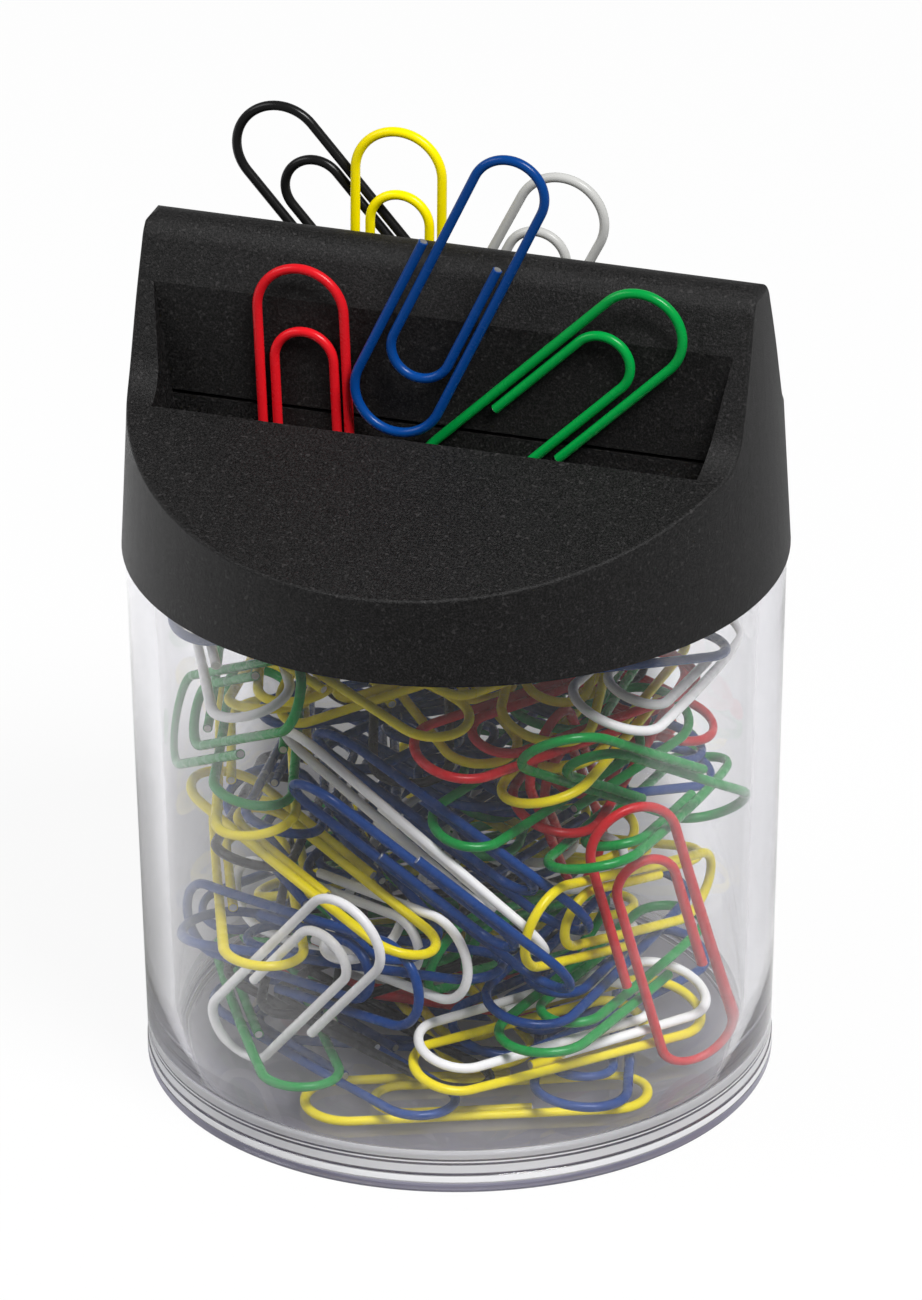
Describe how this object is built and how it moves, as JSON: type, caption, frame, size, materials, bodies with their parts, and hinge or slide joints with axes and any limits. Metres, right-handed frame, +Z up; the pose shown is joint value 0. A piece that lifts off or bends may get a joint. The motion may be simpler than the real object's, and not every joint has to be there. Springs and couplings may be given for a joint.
{
  "type": "magnetic paper clip holder",
  "caption": "Round desk holder for paper clips: a clear cup full of coloured clips under a push-on cap whose ridged hood hides a bar magnet that holds clips upright in slots.",
  "frame": {"origin": "centre of the cup's underside, on the plane that the foot ring stands on", "axes": "+Z up, X along the hood's ridge, -Y towards the front that the picture shows"},
  "size_m": [0.06, 0.06, 0.0921],
  "materials": {
    "clear_cup": "clear polished",
    "black_cap": "fine spark-eroded grain",
    "black_insert": "fine grain",
    "ferrite": "ground",
    "red_wire": "glossy vinyl coat",
    "blue_wire": "glossy vinyl coat",
    "green_wire": "glossy vinyl coat",
    "black_wire": "glossy vinyl coat",
    "yellow_wire": "glossy vinyl coat",
    "white_wire": "glossy vinyl coat"
  },
  "bodies": {
    "cup": {"cup": "clear_cup", "loose_clips_red": "red_wire", "loose_clips_blue": "blue_wire", "loose_clips_green": "green_wire", "loose_clips_black": "black_wire", "loose_clips_yellow": "yellow_wire", "loose_clips_white": "white_wire"},
    "cap": {"cap": "black_cap", "magnet_holder": "black_insert", "magnet": "ferrite"},
    "clip_red": {"held_clip_red": "red_wire"},
    "clip_blue": {"held_clip_blue": "blue_wire"},
    "clip_green": {"held_clip_green": "green_wire"},
    "clip_black": {"held_clip_black": "black_wire"},
    "clip_yellow": {"held_clip_yellow": "yellow_wire"},
    "clip_white": {"held_clip_white": "white_wire"}
  },
  "joints": [
    {"name": "cap_lift", "type": "slide", "parent": "cup", "child": "cap", "axis": [0, 0, 1], "range_m": [0, 0.04]},
    {"name": "red_clip_pull", "type": "slide", "parent": "cap", "child": "clip_red", "axis": [-0.0349, 0, 0.9994], "range_m": [0, 0.03]},
    {"name": "blue_clip_pull", "type": "slide", "parent": "cap", "child": "clip_blue", "axis": [0.4258, 0, 0.9048], "range_m": [0, 0.03]},
    {"name": "green_clip_pull", "type": "slide", "parent": "cap", "child": "clip_green", "axis": [0.7133, 0, 0.7009], "range_m": [0, 0.03]},
    {"name": "black_clip_pull", "type": "slide", "parent": "cap", "child": "clip_black", "axis": [-0.6547, 0, 0.7559], "range_m": [0, 0.03]},
    {"name": "yellow_clip_pull", "type": "slide", "parent": "cap", "child": "clip_yellow", "axis": [0.014, 0, 0.9999], "range_m": [0, 0.03]},
    {"name": "white_clip_pull", "type": "slide", "parent": "cap", "child": "clip_white", "axis": [0.4493, 0, 0.8934], "range_m": [0, 0.03]}
  ]
}
